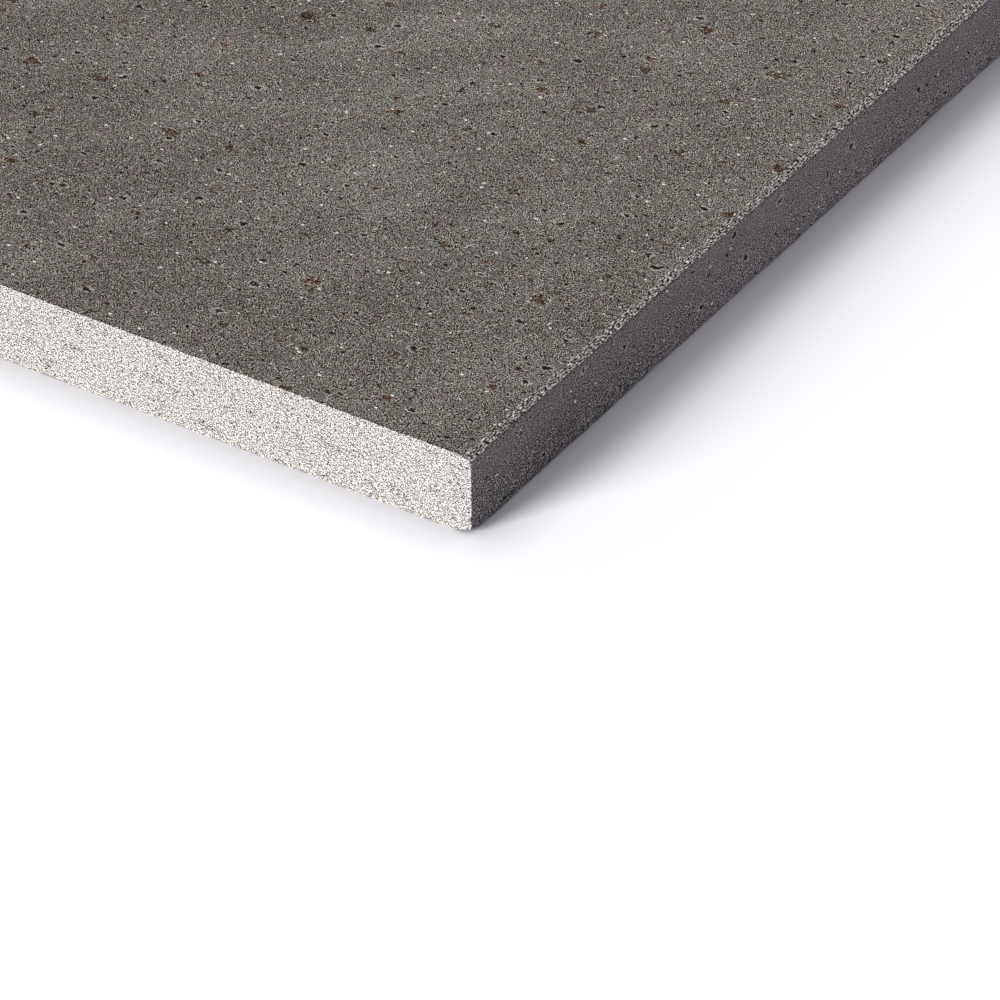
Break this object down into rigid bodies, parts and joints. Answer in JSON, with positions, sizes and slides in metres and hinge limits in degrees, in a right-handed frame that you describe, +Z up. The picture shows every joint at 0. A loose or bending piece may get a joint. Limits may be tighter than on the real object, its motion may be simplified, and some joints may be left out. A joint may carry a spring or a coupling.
{
  "type": "fiber cement board",
  "caption": "Flat rectangular cement-bonded fibre board with sawn square ends and long edges whose upper arris is broken and lower arris is rubbed round.",
  "frame": {"origin": "middle of the underside, on the floor that the sheet lies on", "axes": "+Z up through the thickness, +Y along the length between the sawn ends, +X across the width between the finished long edges; the worn lower corner is at +X, -Y"},
  "size_m": [0.6, 1.2, 0.02],
  "materials": {
    "fibre_cement": "matt, sanded grey cement with wood-fibre flecks"
  },
  "bodies": {
    "root": {"board": "fibre_cement"}
  },
  "joints": []
}
